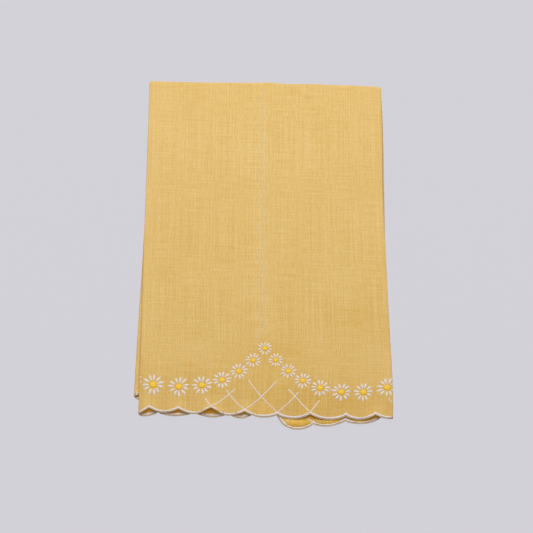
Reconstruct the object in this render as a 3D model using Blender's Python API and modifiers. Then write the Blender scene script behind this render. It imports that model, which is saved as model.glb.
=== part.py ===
"""A linen guest towel with scalloped edges, its sides folded behind and then folded in half.

The cloth is drawn flat, cut across wherever it folds, laid into its folds by one function, and then
given its thickness. X runs across the folded towel, Y up it to the top fold, and Z up from the
surface that it rests on. Four layers lie a little apart: the front panel, its two flaps, the two
flaps of the half behind, and the panel of that half, which rests flat on the surface.
"""
import math
from collections import namedtuple

import bmesh
import bpy
from mathutils import Vector

MM = 0.001
NAME = "towel"

# The flat cloth, about 14 by 22 inches over its scallops.
CLOTH_WIDTH = 357 * MM
CLOTH_LENGTH = 551.5 * MM
CLOTH_THICKNESS = 1.0 * MM
CLOTH_SHIFT = -1.4 * MM
SKEW = -0.031

# Its edge: round scallops between notches, with a fuller scallop at each corner.
SCALLOPS_ACROSS = 13
SCALLOPS_ALONG = 22
SCALLOP_DEPTH = 2.7 * MM
SCALLOP_STEPS = 6
CORNER_NOTCH = 26.3 * MM
CORNER_BULGE = 13.7 * MM
CORNER_STEPS = 12

# Its folds, measured to the middle of the cloth's thickness. LEFT_FOLD and RIGHT_FOLD are how far the
# side folds lie from the middle line at the top.
LAYER_PITCH = 1.5 * MM
SIDE_BEND = LAYER_PITCH / 2
TOP_BEND = 1.5 * LAYER_PITCH
LEFT_FOLD = 88.95 * MM
RIGHT_FOLD = 86.85 * MM
HEM_TO_FOLD = 282.5 * MM
FOLD_ABOVE_HEM = HEM_TO_FOLD - math.pi * TOP_BEND / 2
BOTTOM_LAYER = CLOTH_THICKNESS / 2

# The middle of the folded towel's box, seen from above, which becomes the origin.
MIDDLE_X = -2.4 * MM
MIDDLE_Y = 138.0 * MM

# How the side folds run, by the distance down from the top fold, in millimetres. The front panel's
# folds lie at near_left and near_right of their places at the top; the half behind slides sideways.
Station = namedtuple("Station", "down near_left near_right far_slide")
SIDE_FOLDS = [
    Station(0, 0.0, 0.0, 0.0),
    Station(35, 0.0, -0.2, 0.8),
    Station(95, 0.0, -0.5, 0.9),
    Station(150, 0.0, -0.3, -0.8),
    Station(200, 0.0, 0.2, -2.1),
    Station(235, 0.0, 0.9, -3.1),
    Station(258, 0.1, 1.2, -3.7),
    Station(285, 0.0, 0.7, -4.0),
]

# How the top fold bows up from its straight line, by the place across the folded towel, in
# millimetres.
FoldPlace = namedtuple("FoldPlace", "across rise")
TOP_FOLD = [
    FoldPlace(-90, 0.0),
    FoldPlace(-50, 0.0),
    FoldPlace(-30, 0.6),
    FoldPlace(-8, 0.9),
    FoldPlace(3, 1.7),
    FoldPlace(9, 1.3),
    FoldPlace(14, 0.6),
    FoldPlace(36, 1.0),
    FoldPlace(52, 0.7),
    FoldPlace(68, 0.7),
    FoldPlace(90, 0.0),
]
BOW_FADE = 40 * MM

# How each hem lies, by the place across the flat cloth, in millimetres: how far it has slipped
# sideways, and how far it lies above (or below) the cloth's own line.
HemPlace = namedtuple("HemPlace", "across slip rise")
NEAR_HEM = [
    HemPlace(-180, 0.0, -6.9),
    HemPlace(-145, 0.0, -4.0),
    HemPlace(-115, 0.3, -1.8),
    HemPlace(-91, 0.3, 0.0),
    HemPlace(-82, 0.8, 1.2),
    HemPlace(-58, -2.2, 1.3),
    HemPlace(-12, -2.3, 1.0),
    HemPlace(12, -2.9, -0.3),
    HemPlace(35, -3.3, -0.6),
    HemPlace(58, -2.0, 0.2),
    HemPlace(82, -4.9, 1.4),
    HemPlace(92, -5.4, 2.7),
    HemPlace(105, -5.9, 0.0),
    HemPlace(128, -2.8, -0.9),
    HemPlace(151, -2.5, -2.7),
    HemPlace(180, -1.4, -4.8),
]
FAR_HEM = [
    HemPlace(-150, 0.0, 0.0),
    HemPlace(-115, -8.0, 1.2),
    HemPlace(-95, -11.0, 2.4),
    HemPlace(-84, -11.0, -1.4),
    HemPlace(-60, -8.0, -1.0),
    HemPlace(-20, 0.0, 0.0),
]
SLIP_FADE = 60 * MM
RISE_FADE = 45 * MM
RIGHT_FLAP_SWING = 5.5 * MM
SWING_FADE = 110 * MM

# The notches of the front panel's hem: how much each lies above its place and curls up, in
# millimetres. Notch 0 is the first to the right of the cloth's middle.
Notch = namedtuple("Notch", "number rise curl")
NOTCHES = [
    Notch(-4, 1.0, 1.1),
    Notch(-3, 0.8, 0.8),
    Notch(-2, 2.8, 3.6),
    Notch(-1, 0.7, 1.5),
    Notch(0, -0.6, 0.3),
    Notch(1, 0.7, 1.7),
    Notch(2, -0.4, 0.4),
    Notch(3, 0.6, 1.3),
]
NOTCH_WIDTH = 6 * MM
NOTCH_REACH = 16 * MM
PANEL_DROOP = 1.7 * MM
PANEL_DROOP_REACH = 26 * MM
FLAP_DROOP = 1.7 * MM
FLAP_DROOP_REACH = 20 * MM

# Long soft swells of the upper layers, where they start in radians, and how much of them the flaps
# take; the lowest layer stays flat.
SWELL = 0.22 * MM
SWELL_ACROSS = 105 * MM
SWELL_ALONG = 150 * MM
SWELL_START_ACROSS = 0.6
SWELL_START_ALONG = 0.9
FLAP_SWELL = 0.6
FAR_FLAP_SWELL = 0.3

# Where the flat cloth is cut into faces, and how close two of its points may lie.
SIDE_BEND_STEPS = 6
COLUMNS_BESIDE_FOLD = 3
COLUMN_PITCH = 23 * MM
ROW_PITCH = 23 * MM
HEM_ROWS = (7 * MM, 14 * MM, 23 * MM, 36 * MM, 52 * MM)
TOP_BEND_ROWS = (0.4 * MM, 0.8 * MM, 1.2 * MM, 1.8 * MM, 2.6 * MM, 3.55 * MM, 7 * MM)
CLOSEST_POINTS = 0.25 * MM
CUT_TOLERANCE = 0.001 * MM
SHARP_EDGES = math.radians(40)

LINEN_COLOR = (0.72, 0.47, 0.16, 1.0)
LINEN_ROUGHNESS = 0.85


def clear_scene():
    """Remove whatever the opened scene holds."""
    for item in list(bpy.data.objects):
        bpy.data.objects.remove(item, do_unlink=True)


def linen_material():
    """The cloth's yellow."""
    material = bpy.data.materials.new("linen")
    material.use_nodes = True
    shader = material.node_tree.nodes["Principled BSDF"]
    shader.inputs["Base Color"].default_value = LINEN_COLOR
    shader.inputs["Roughness"].default_value = LINEN_ROUGHNESS
    shader.inputs["Metallic"].default_value = 0.0
    return material


def read_table(rows, column, at):
    """Read a column of a table smoothly between its rows; the first column says where each row is."""
    places = [row[0] * MM for row in rows]
    values = [getattr(row, column) * MM for row in rows]
    last = len(rows) - 1
    at = min(max(at, places[0]), places[last])
    row = 0
    while row < last - 1 and at > places[row + 1]:
        row += 1
    span = places[row + 1] - places[row]
    slopes = []
    for here in (row, row + 1):
        before = max(here - 1, 0)
        after = min(here + 1, last)
        slopes.append((values[after] - values[before]) / (places[after] - places[before]))
    t = (at - places[row]) / span
    start = (2 * t ** 3 - 3 * t ** 2 + 1) * values[row] + (t ** 3 - 2 * t ** 2 + t) * span * slopes[0]
    end = (3 * t ** 2 - 2 * t ** 3) * values[row + 1] + (t ** 3 - t ** 2) * span * slopes[1]
    return start + end


def fade(distance, reach):
    """One at no distance, easing to nothing at reach."""
    left = min(max(1 - distance / reach, 0.0), 1.0)
    return left * left


def ease(distance, reach):
    """One at no distance and nothing at reach, level at both."""
    left = min(max(1 - distance / reach, 0.0), 1.0)
    return left * left * (3 - 2 * left)


# The outline of the flat cloth

def arc_between(start, end, bulge, steps):
    """Points from start towards end along a circle that bulges to the right of the way there."""
    chord = end - start
    half = chord.length / 2
    radius = (half * half + bulge * bulge) / (2 * bulge)
    right = Vector((chord.y, -chord.x)).normalized()
    centre = (start + end) / 2 + right * (bulge - radius)
    sweep = 2 * math.atan2(half, radius - bulge)
    spoke = start - centre
    points = []
    for step in range(steps):
        angle = sweep * step / steps
        turned = Vector((
            spoke.x * math.cos(angle) - spoke.y * math.sin(angle),
            spoke.x * math.sin(angle) + spoke.y * math.cos(angle),
        ))
        points.append(centre + turned)
    return points


def flat_outline():
    """The scalloped edge, anticlockwise from the near left corner's last notch.

    Points are (across, along): across from the cloth's middle, along from the near hem.
    """
    half = CLOTH_WIDTH / 2
    corners = [
        Vector((-half, 0)),
        Vector((half, 0)),
        Vector((half, CLOTH_LENGTH)),
        Vector((-half, CLOTH_LENGTH)),
    ]
    counts = [SCALLOPS_ACROSS, SCALLOPS_ALONG, SCALLOPS_ACROSS, SCALLOPS_ALONG]
    points = []
    for side in range(4):
        corner = corners[side]
        way = (corners[(side + 1) % 4] - corner).normalized()
        inward = Vector((-way.y, way.x))
        length = (corners[(side + 1) % 4] - corner).length - 2 * CORNER_NOTCH
        pitch = length / counts[side]
        first = corner + way * CORNER_NOTCH + inward * SCALLOP_DEPTH
        for scallop in range(counts[side]):
            start = first + way * pitch * scallop
            points += arc_between(start, start + way * pitch, SCALLOP_DEPTH, SCALLOP_STEPS)
        last = first + way * length
        following = corners[(side + 1) % 4] + inward * CORNER_NOTCH - way * SCALLOP_DEPTH
        points += arc_between(last, following, CORNER_BULGE, CORNER_STEPS)
    return points


def to_fold_lines(point):
    """Move a point of the flat cloth to where it lies among the fold lines.

    The hems have slipped sideways, and the cloth is a little off square, so each flap's cloth
    steps along its fold.
    """
    slip = read_table(NEAR_HEM, "slip", point.x) * ease(point.y, SLIP_FADE)
    slip += read_table(FAR_HEM, "slip", point.x) * ease(CLOTH_LENGTH - point.y, SLIP_FADE)
    across = point.x + CLOTH_SHIFT + slip
    fold = RIGHT_FOLD if across > 0 else -LEFT_FOLD
    beyond = across - fold if abs(across) > abs(fold) else 0.0
    return Vector((across, point.y + 2 * SKEW * beyond, 0))


# The folds

def over_side_fold(across, fold, reach):
    """Follow the cloth across one half of the towel, over its side fold and back under it.

    Gives the distance out from the middle and the depth under the panel. The fold lies at reach.
    """
    turn = math.pi * SIDE_BEND
    if across <= fold:
        return across * reach / fold, 0.0
    if across <= fold + turn:
        angle = (across - fold) / SIDE_BEND
        return reach + SIDE_BEND * math.sin(angle), SIDE_BEND * (1 - math.cos(angle))
    back = across - fold - turn
    return reach - back * (1 - (reach - fold) / fold), 2 * SIDE_BEND


def at_notches(across, column):
    """How much the notches of the front panel's hem add here, from a column of their table."""
    pitch = (CLOTH_WIDTH - 2 * CORNER_NOTCH) / SCALLOPS_ACROSS
    total = 0.0
    for notch in NOTCHES:
        middle = (notch.number + 0.5) * pitch
        place = middle + CLOTH_SHIFT + read_table(NEAR_HEM, "slip", middle)
        near_it = math.exp(-((across - place) / NOTCH_WIDTH) ** 2)
        total += getattr(notch, column) * MM * near_it
    return total


def swell(x, y):
    """The long soft unevenness of the upper layers."""
    across = math.sin(2 * math.pi * x / SWELL_ACROSS + SWELL_START_ACROSS)
    along = math.sin(2 * math.pi * y / SWELL_ALONG + SWELL_START_ALONG)
    return SWELL * (1 + across * along)


def lay(across, along):
    """Where a point among the fold lines lies in the folded towel."""
    right = across > 0
    fold = RIGHT_FOLD if right else LEFT_FOLD
    past = along - HEM_TO_FOLD
    down = abs(past)
    near = past < 0
    reach = fold
    if near:
        reach += read_table(SIDE_FOLDS, "near_right" if right else "near_left", down)
    out, depth = over_side_fold(abs(across), fold, reach)
    x = out if right else -out
    flap = depth / (2 * SIDE_BEND)

    # Round the top fold: the flaps lie inside the panel's bend, on a tighter one.
    bend = TOP_BEND - depth
    quarter = math.pi * bend / 2
    angle = min(max(past / bend, -math.pi / 2), math.pi / 2)
    straight = max(down - quarter, 0.0)
    bow = read_table(TOP_FOLD, "rise", x) * fade(down, BOW_FADE)
    y = FOLD_ABOVE_HEM + SKEW * x + bow + bend * math.cos(angle) - straight
    z = BOTTOM_LAYER + TOP_BEND - bend * math.sin(angle)
    far = (1 + math.sin(angle)) / 2

    # The flaps give up by the hems the length that their tighter bend leaves them.
    y += (math.pi * TOP_BEND / 2 - quarter) * min(down / HEM_TO_FOLD, 1.0)

    # Each half's hem line, the near one's notches and the swing of its right flap.
    if near:
        y += read_table(NEAR_HEM, "rise", across - CLOTH_SHIFT) * fade(along, RISE_FADE)
        y += (1 - flap) * at_notches(across, "rise") * fade(along, NOTCH_REACH)
        if right and flap > 0.5:
            x += RIGHT_FLAP_SWING * (fold - min(out, fold)) / fold * fade(along, SWING_FADE)
    else:
        x += read_table(SIDE_FOLDS, "far_slide", down)
        y += read_table(FAR_HEM, "rise", across - CLOTH_SHIFT) * fade(CLOTH_LENGTH - along, RISE_FADE)

    # The unevenness of each layer, shared out round the bends.
    panel = at_notches(across, "curl") * fade(along, NOTCH_REACH)
    panel -= PANEL_DROOP * fade(along, PANEL_DROOP_REACH)
    under = -FLAP_DROOP * fade(along, FLAP_DROOP_REACH)
    near_height = (1 - flap) * (swell(x, y) + panel) + flap * (FLAP_SWELL * swell(x, y) + under)
    far_height = flap * FAR_FLAP_SWELL * swell(x, y)
    z += (1 - far) * near_height + far * far_height
    return Vector((x - MIDDLE_X, y - MIDDLE_Y, z))


# The mesh

def cut_places():
    """Where the cloth is cut along its length and across it, so that it can bend there."""
    columns = []
    for fold in (-LEFT_FOLD, RIGHT_FOLD):
        side = math.copysign(1, fold)
        for step in range(SIDE_BEND_STEPS + 1):
            columns.append(fold + side * math.pi * SIDE_BEND * step / SIDE_BEND_STEPS)
        for step in range(1, COLUMNS_BESIDE_FOLD + 1):
            columns.append(fold - side * COLUMN_PITCH * step)
            columns.append(fold + side * (math.pi * SIDE_BEND + COLUMN_PITCH * step))
    columns.append(0.0)
    rows = [HEM_TO_FOLD]
    for row in TOP_BEND_ROWS:
        rows += [HEM_TO_FOLD - row, HEM_TO_FOLD + row]
    rows += HEM_ROWS
    place = HEM_ROWS[-1] + ROW_PITCH
    while place < CLOTH_LENGTH - SCALLOP_DEPTH - ROW_PITCH / 2:
        if abs(place - HEM_TO_FOLD) > TOP_BEND_ROWS[-1] + ROW_PITCH / 2:
            rows.append(place)
        place += ROW_PITCH
    return columns, rows


def make_cloth():
    """The folded cloth as one sheet, with its thickness."""
    mesh = bpy.data.meshes.new(NAME)
    sheet = bmesh.new()
    corners = [sheet.verts.new(to_fold_lines(point)) for point in flat_outline()]
    sheet.faces.new(corners)
    columns, rows = cut_places()
    cuts = [(Vector((column, 0, 0)), Vector((1, 0, 0))) for column in columns]
    cuts += [(Vector((0, row, 0)), Vector((0, 1, 0))) for row in rows]
    for place, across in cuts:
        everything = sheet.verts[:] + sheet.edges[:] + sheet.faces[:]
        bmesh.ops.bisect_plane(
            sheet, geom=everything, dist=CUT_TOLERANCE, plane_co=place, plane_no=across)
    bmesh.ops.remove_doubles(sheet, verts=sheet.verts[:], dist=CLOSEST_POINTS)
    bmesh.ops.triangulate(sheet, faces=sheet.faces[:])
    for vert in sheet.verts:
        vert.co = lay(vert.co.x, vert.co.y)
    sheet.to_mesh(mesh)
    sheet.free()
    mesh.materials.append(linen_material())
    cloth = bpy.data.objects.new(NAME, mesh)
    thickness = cloth.modifiers.new("thickness", "SOLIDIFY")
    thickness.thickness = CLOTH_THICKNESS
    thickness.offset = 0.0
    thickness.use_rim = True
    thickness.use_even_offset = True
    return cloth


def main():
    clear_scene()
    collection = bpy.data.collections.new("folded hand towel")
    bpy.context.scene.collection.children.link(collection)
    cloth = make_cloth()
    collection.objects.link(cloth)
    cloth.data.shade_smooth()
    cloth.data.set_sharp_from_angle(angle=SHARP_EDGES)


main()
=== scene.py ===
# %% [markdown]
# # A folded linen hand towel
# The real towel is one rectangle of yellow linen with a scalloped edge, sewn round with white thread
# and embroidered at one end with daisies and a lattice. It lies folded: both sides behind, then in
# half. We draw every piece on the flat cloth, as its maker did, and let one function fold them all.
# So a daisy that was sewn near a fold goes round the fold, and nothing has to be fitted afterwards.

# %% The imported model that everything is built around
import math
from collections import namedtuple

import bmesh
import bpy
from mathutils import Euler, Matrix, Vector


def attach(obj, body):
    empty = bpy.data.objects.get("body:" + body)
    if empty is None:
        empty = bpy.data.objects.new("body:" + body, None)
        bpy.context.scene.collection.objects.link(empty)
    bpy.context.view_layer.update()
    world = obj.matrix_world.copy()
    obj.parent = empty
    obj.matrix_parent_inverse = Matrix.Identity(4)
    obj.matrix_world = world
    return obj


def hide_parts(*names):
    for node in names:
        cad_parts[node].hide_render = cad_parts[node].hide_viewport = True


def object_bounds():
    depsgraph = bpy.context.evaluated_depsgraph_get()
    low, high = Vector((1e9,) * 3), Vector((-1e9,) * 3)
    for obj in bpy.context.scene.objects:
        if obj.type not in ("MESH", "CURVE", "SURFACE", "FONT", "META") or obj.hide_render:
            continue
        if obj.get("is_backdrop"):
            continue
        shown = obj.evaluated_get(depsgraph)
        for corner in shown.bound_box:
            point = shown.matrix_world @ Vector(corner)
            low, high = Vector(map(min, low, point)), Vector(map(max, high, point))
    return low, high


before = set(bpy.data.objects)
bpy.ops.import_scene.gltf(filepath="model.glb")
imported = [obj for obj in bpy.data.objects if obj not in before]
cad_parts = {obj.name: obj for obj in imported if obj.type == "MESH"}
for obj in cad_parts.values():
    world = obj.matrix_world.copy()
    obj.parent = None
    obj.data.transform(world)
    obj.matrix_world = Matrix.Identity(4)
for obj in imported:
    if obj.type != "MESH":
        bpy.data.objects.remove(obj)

solid_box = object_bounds()
solid_size = (solid_box[1] - solid_box[0]) * 1000
print(f"the packed towel is {solid_size.x:.1f} x {solid_size.y:.1f} x {solid_size.z:.1f} mm")

# %% [markdown]
# ## The camera
# The photograph looks down on the towel, 29 degrees from straight above, through a long lens. The
# camera is turned about X only, so the towel stands upright in the picture. It is made first, so that
# each new piece can be looked at as soon as it is there.

# %% The camera
MM = 0.001
LENS = 138.71
TILT = math.radians(28.948)
CAMERA_PLACE = (0.0024, -0.7441, 1.3189)

camera = bpy.data.objects.new("camera", bpy.data.cameras.new("camera"))
camera.data.lens = LENS
camera.location = CAMERA_PLACE
camera.rotation_euler = Euler((TILT, 0, 0))
bpy.context.scene.collection.objects.link(camera)
bpy.context.scene.camera = camera
print(f"camera {Vector(CAMERA_PLACE).length:.2f} m from the towel")

# %% [markdown]
# ## The flat cloth
# A maker starts from the flat cloth, so we do too. A point on it is (across, along): across from the
# cloth's middle line, and along from the tips of the near hem's scallops. The sizes are nearly the
# solid's, with finer folds and hems, so the thin sheet made here lies on the solid's folds.

# %% The flat cloth's sizes
CLOTH_WIDTH = 357 * MM
CLOTH_LENGTH = 551.5 * MM
CLOTH_SHIFT = -1.4 * MM
SKEW = -0.031
THICKNESS = 0.5 * MM

SCALLOPS_ACROSS = 13
SCALLOPS_ALONG = 22
SCALLOP_DEPTH = 2.7 * MM
SCALLOP_STEPS = 14
NOTCH_POINT = 0.25 * MM
CORNER_NOTCH = 26.3 * MM
CORNER_BULGE = 13.7 * MM
CORNER_STEPS = 32
PITCH = (CLOTH_WIDTH - 2 * CORNER_NOTCH) / SCALLOPS_ACROSS

# %% The sizes of its folds
LAYER_PITCH = 1.5 * MM
SIDE_BEND = LAYER_PITCH / 2
LEAN = 0.25
LEAN_REACH = 3.0 * MM
LEAN_RADIUS = LEAN_REACH / LEAN
CREASE_RADIUS = (SIDE_BEND - LEAN_RADIUS * (1 - math.cos(LEAN))) / math.cos(LEAN)
CREASE_REACH = CREASE_RADIUS * (math.pi / 2 - LEAN)
TOP_BEND = 1.5 * LAYER_PITCH
LEFT_FOLD = 88.95 * MM
RIGHT_FOLD = 86.85 * MM
HEM_TO_FOLD = 282.5 * MM
FOLD_ABOVE_HEM = HEM_TO_FOLD - math.pi * TOP_BEND / 2
BOTTOM_LAYER = THICKNESS / 2
MIDDLE_X = -2.4 * MM
MIDDLE_Y = 138.0 * MM
print(f"folded to about {(LEFT_FOLD + RIGHT_FOLD) * 1000:.0f} x {HEM_TO_FOLD * 1000:.0f} mm")

# %% [markdown]
# ## How unevenly it lies
# Nobody folds a towel perfectly, and the small faults are what make it look real. Each of these short
# tables gives one of them in millimetres: how the side folds run, how the top fold bows, how each hem
# has slipped, and how the notches of the front hem curl up. The values were read off the edges in the
# photograph and then put right between renders.

# %% Tables of how the folds run
Station = namedtuple("Station", "down near_left near_right far_slide")
SIDE_FOLDS = [Station(*row) for row in (
    (0, 0.0, 0.0, 0.0),
    (35, -0.2, -0.3, 0.6),
    (95, 0.0, -1.2, 0.0),
    (150, 0.2, -0.4, -0.8),
    (200, 0.0, 0.4, -2.3),
    (235, 0.0, 1.2, -3.2),
    (258, 0.1, 1.5, -3.7),
    (285, 0.2, 1.0, -4.0),
)]
FoldPlace = namedtuple("FoldPlace", "across rise")
TOP_FOLD = [FoldPlace(*row) for row in (
    (-90, 0.5),
    (-50, 0.6),
    (-30, 1.1),
    (-8, 1.6),
    (3, 2.3),
    (9, 1.9),
    (14, 1.2),
    (36, 1.7),
    (52, 1.4),
    (68, 1.3),
    (90, 0.5),
)]
BOW_FADE = 40 * MM

# %% Tables of how the hems lie
HemPlace = namedtuple("HemPlace", "across slip rise droop")
NEAR_HEM = [HemPlace(*row) for row in (
    (-180, 1.2, -7.0, 1.5),
    (-165, 1.2, -6.3, 1.5),
    (-140, -0.5, -4.0, 1.6),
    (-115, 2.8, -1.8, 1.8),
    (-92, 2.0, -1.0, 1.9),
    (-82, 0.8, 1.4, 2.2),
    (-58, -2.2, 1.6, 2.2),
    (-12, -2.3, 0.9, 2.5),
    (12, -2.9, 0.2, 2.9),
    (35, -3.3, 0.1, 2.9),
    (58, -2.0, 0.6, 2.5),
    (82, -4.9, 1.6, 2.2),
    (92, -5.4, 2.6, 2.2),
    (105, -7.2, 0.1, 1.9),
    (128, -3.7, -0.8, 1.8),
    (151, -3.1, -2.3, 2.2),
    (180, -1.6, -4.4, 2.2),
)]
FAR_HEM = [HemPlace(*row) for row in (
    (-150, 0.0, 0.0, 0.0),
    (-115, -8.0, 1.2, 0.0),
    (-95, -11.0, 0.9, 0.0),
    (-84, -11.0, -1.4, 0.0),
    (-60, -8.0, -1.0, 0.0),
    (-20, 0.0, 0.0, 0.0),
)]
Notch = namedtuple("Notch", "number rise curl")
NOTCHES = [Notch(*row) for row in (
    (-4, 0.2, 2.6),
    (-3, -0.1, 2.4),
    (-2, 1.7, 5.6),
    (-1, -0.2, 3.2),
    (0, -0.6, 0.3),
    (1, 0.3, 2.4),
    (2, -0.6, 0.8),
    (3, -0.1, 2.6),
)]

# %% How far each unevenness reaches
SLIP_FADE = 60 * MM
RISE_FADE = 45 * MM
RIGHT_FLAP_SWING = 5.5 * MM
SWING_FADE = 110 * MM
NOTCH_WIDTH = 6 * MM
NOTCH_REACH = 16 * MM
DROOP_REACH = 26 * MM
FAR_CURL = 1.2 * MM
FAR_CURL_REACH = 12 * MM
FAR_CURL_WIDTH = 8 * MM
SWELL = 0.22 * MM
SWELL_ACROSS = 105 * MM
SWELL_ALONG = 150 * MM
SWELL_START_ACROSS = 0.6
SWELL_START_ALONG = 0.9
FLAP_SWELL = 0.6
FAR_FLAP_SWELL = 0.3

# %% [markdown]
# ## Reading a table, and fading
# A table gives a value at a few places, and a cubic curve gives the rest, so the cloth bends
# smoothly through each row. A fade says how much of an effect is left at a distance.

# %% Helpers for the tables
def read_table(rows, column, at):
    """Read a column of a table smoothly between its rows; the first column says where each row is."""
    places = [row[0] * MM for row in rows]
    values = [getattr(row, column) * MM for row in rows]
    last = len(rows) - 1
    at = min(max(at, places[0]), places[last])
    row = 0
    while row < last - 1 and at > places[row + 1]:
        row += 1
    span = places[row + 1] - places[row]
    slopes = []
    for here in (row, row + 1):
        before = max(here - 1, 0)
        after = min(here + 1, last)
        slopes.append((values[after] - values[before]) / (places[after] - places[before]))
    t = (at - places[row]) / span
    start = (2 * t ** 3 - 3 * t ** 2 + 1) * values[row] + (t ** 3 - 2 * t ** 2 + t) * span * slopes[0]
    end = (3 * t ** 2 - 2 * t ** 3) * values[row + 1] + (t ** 3 - t ** 2) * span * slopes[1]
    return start + end


def fade(distance, reach):
    """One at no distance, easing to nothing at reach."""
    return min(max(1 - distance / reach, 0.0), 1.0) ** 2


def ease(distance, reach):
    """One at no distance and nothing at reach, level at both."""
    left = min(max(1 - distance / reach, 0.0), 1.0)
    return left * left * (3 - 2 * left)


print(f"the top fold bows {read_table(TOP_FOLD, 'rise', 3 * MM) * 1000:.1f} mm at its highest")

# %% [markdown]
# ## Folding
# Folding is a change of place: a point of the flat cloth goes in, and its place in the folded towel
# comes out. Straight stretches stay straight, a side fold is a half circle round one layer's gap, and
# the top fold is a half circle round the flaps that lie inside it.

# %% From the flat cloth to its fold lines
def to_fold_lines(across, along):
    """Where a point of the flat cloth lies once the hems have slipped and the flaps have stepped."""
    slip = read_table(NEAR_HEM, "slip", across) * ease(along, SLIP_FADE)
    slip += read_table(FAR_HEM, "slip", across) * ease(CLOTH_LENGTH - along, SLIP_FADE)
    place = across + CLOTH_SHIFT + slip
    fold = RIGHT_FOLD if place > 0 else -LEFT_FOLD
    beyond = place - fold if abs(place) > abs(fold) else 0.0
    return place, along + 2 * SKEW * beyond


def to_flat(place, along):
    """The other way round, by putting the first answer right twice."""
    across, flat_along = place, along
    for _ in range(3):
        there = to_fold_lines(across, flat_along)
        across += place - there[0]
        flat_along += along - there[1]
    return across, flat_along


there = to_fold_lines(60 * MM, 10 * MM)
back = to_flat(*there)
print(f"to the fold lines and back: off by {abs(back[0] - 60 * MM) * 1e6:.2f} micrometres")

# %% Round a side fold, at the notches, and the soft swells
def from_crease(distance):
    """How far inwards from a crease, and how far above its middle, the cloth lies after a distance."""
    if distance < CREASE_REACH:
        angle = distance / CREASE_RADIUS
        return CREASE_RADIUS * (1 - math.cos(angle)), CREASE_RADIUS * math.sin(angle)
    inwards = CREASE_RADIUS * (1 - math.sin(LEAN))
    rise = CREASE_RADIUS * math.cos(LEAN)
    further = distance - CREASE_REACH
    left = LEAN - min(further, LEAN_REACH) / LEAN_RADIUS
    inwards += LEAN_RADIUS * (math.sin(LEAN) - math.sin(left)) + max(further - LEAN_REACH, 0.0)
    return inwards, rise + LEAN_RADIUS * (math.cos(left) - math.cos(LEAN))


def over_side_fold(across, fold, reach):
    """The distance out from the middle and the depth under the panel, for a fold that lies at reach."""
    crease = fold + math.pi * SIDE_BEND / 2
    leaning = CREASE_REACH + LEAN_REACH
    stretch = reach / fold
    if across < crease - leaning:
        return across * stretch, 0.0
    inwards, rise = from_crease(abs(across - crease))
    out = (crease - leaning) * stretch + from_crease(leaning)[0] - inwards
    return out, SIDE_BEND - math.copysign(rise, crease - across)


def notch_places():
    """Where the near hem's notches lie among the fold lines."""
    places = []
    for notch in NOTCHES:
        middle = (notch.number + 0.5) * PITCH
        places.append(middle + CLOTH_SHIFT + read_table(NEAR_HEM, "slip", middle))
    return places


NOTCH_PLACES = notch_places()


def at_notches(across, column):
    """How much the notches of the front hem add here, from a column of their table."""
    total = 0.0
    for notch, place in zip(NOTCHES, NOTCH_PLACES):
        total += getattr(notch, column) * MM * math.exp(-((across - place) / NOTCH_WIDTH) ** 2)
    return total


def swell(x, y):
    """The long soft unevenness of the upper layers."""
    across = math.sin(2 * math.pi * x / SWELL_ACROSS + SWELL_START_ACROSS)
    along = math.sin(2 * math.pi * y / SWELL_ALONG + SWELL_START_ALONG)
    return SWELL * (1 + across * along)


print(f"the front hem shows {len(NOTCH_PLACES)} notches, {PITCH * 1000:.1f} mm apart")

# %% [markdown]
# ## Creases
# The front has a few small creases that the solid leaves out: a pucker that runs down from the top
# fold, and the shallow ridges beside it. Each is a straight line with a soft ridge across it, and the
# ridge dies away at both ends.

# %% The creases of the front
Crease = namedtuple("Crease", "start_x start_y end_x end_y width height")
CREASES = [
    Crease(10, 285, 40, 266, 2.2, 0.35),
    Crease(8, 283, 36, 262, 4.5, -0.25),
    Crease(19, 272, 36, 271, 1.1, 0.14),
    Crease(22, 266, 38, 265, 1.1, 0.12),
]
CREASE_END = 0.2
CREASE_FALL = 0.42


def creases(x, y):
    """How far the creases lift the front panel at a place of the folded towel."""
    total = 0.0
    for crease in CREASES:
        start = Vector((crease.start_x, crease.start_y)) * MM
        way = Vector((crease.end_x, crease.end_y)) * MM - start
        here = Vector((x, y)) - start
        share = here.dot(way) / way.length_squared
        if -CREASE_END < share < 1 + CREASE_END:
            off = (here - way * share).length / (crease.width * MM)
            along = math.exp(-((share - 0.5) / CREASE_FALL) ** 4)
            total += crease.height * MM * math.exp(-off * off) * along
    return total


longest = max(math.hypot(row.end_x - row.start_x, row.end_y - row.start_y) for row in CREASES)
print(f"{len(CREASES)} creases, the longest {longest:.0f} mm")

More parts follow.
